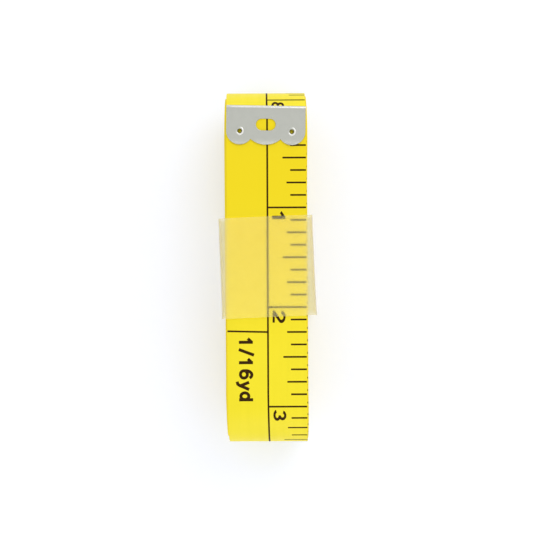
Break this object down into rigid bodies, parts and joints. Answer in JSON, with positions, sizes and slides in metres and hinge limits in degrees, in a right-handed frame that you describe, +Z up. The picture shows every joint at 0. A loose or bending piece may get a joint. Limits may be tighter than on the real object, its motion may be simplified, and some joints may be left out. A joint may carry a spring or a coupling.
{
  "type": "tape measure",
  "caption": "Flat wound hank of flexible printed measuring tape with folded metal end tips, held by a clear plastic sleeve, for measuring cloth and the body.",
  "frame": {"origin": "under the middle of the sleeve, on the surface that the hank lies on", "axes": "+Z up, out of the printed face; +Y along the hank, towards the outer metal tip; +X across the tape"},
  "size_m": [0.0254, 0.0914, 0.0278],
  "materials": {
    "tape": "coated cloth, smooth satin",
    "tip": "satin plated",
    "eyelet": "plated",
    "sleeve": "milky clear film"
  },
  "bodies": {
    "hank": {"wound_tape": "tape", "inner_tip": "tip", "inner_tip_eyelet_left": "eyelet", "inner_tip_eyelet_right": "eyelet"},
    "free_end": {"tape_free_end": "tape", "outer_tip": "tip", "outer_tip_eyelet_left": "eyelet", "outer_tip_eyelet_right": "eyelet"},
    "sleeve": {"sleeve": "sleeve"}
  },
  "joints": [
    {"name": "free_end_lift", "type": "hinge", "parent": "hank", "child": "free_end", "pos_m": [-0.00035, 0.0145, 0.02708], "axis": [1, 0, 0], "range_deg": [0, 100], "stiffness_Nm_per_rad": 0.002},
    {"name": "sleeve_slide", "type": "slide", "parent": "hank", "child": "sleeve", "axis": [0, -1, 0], "range_m": [0, 0.06]}
  ]
}
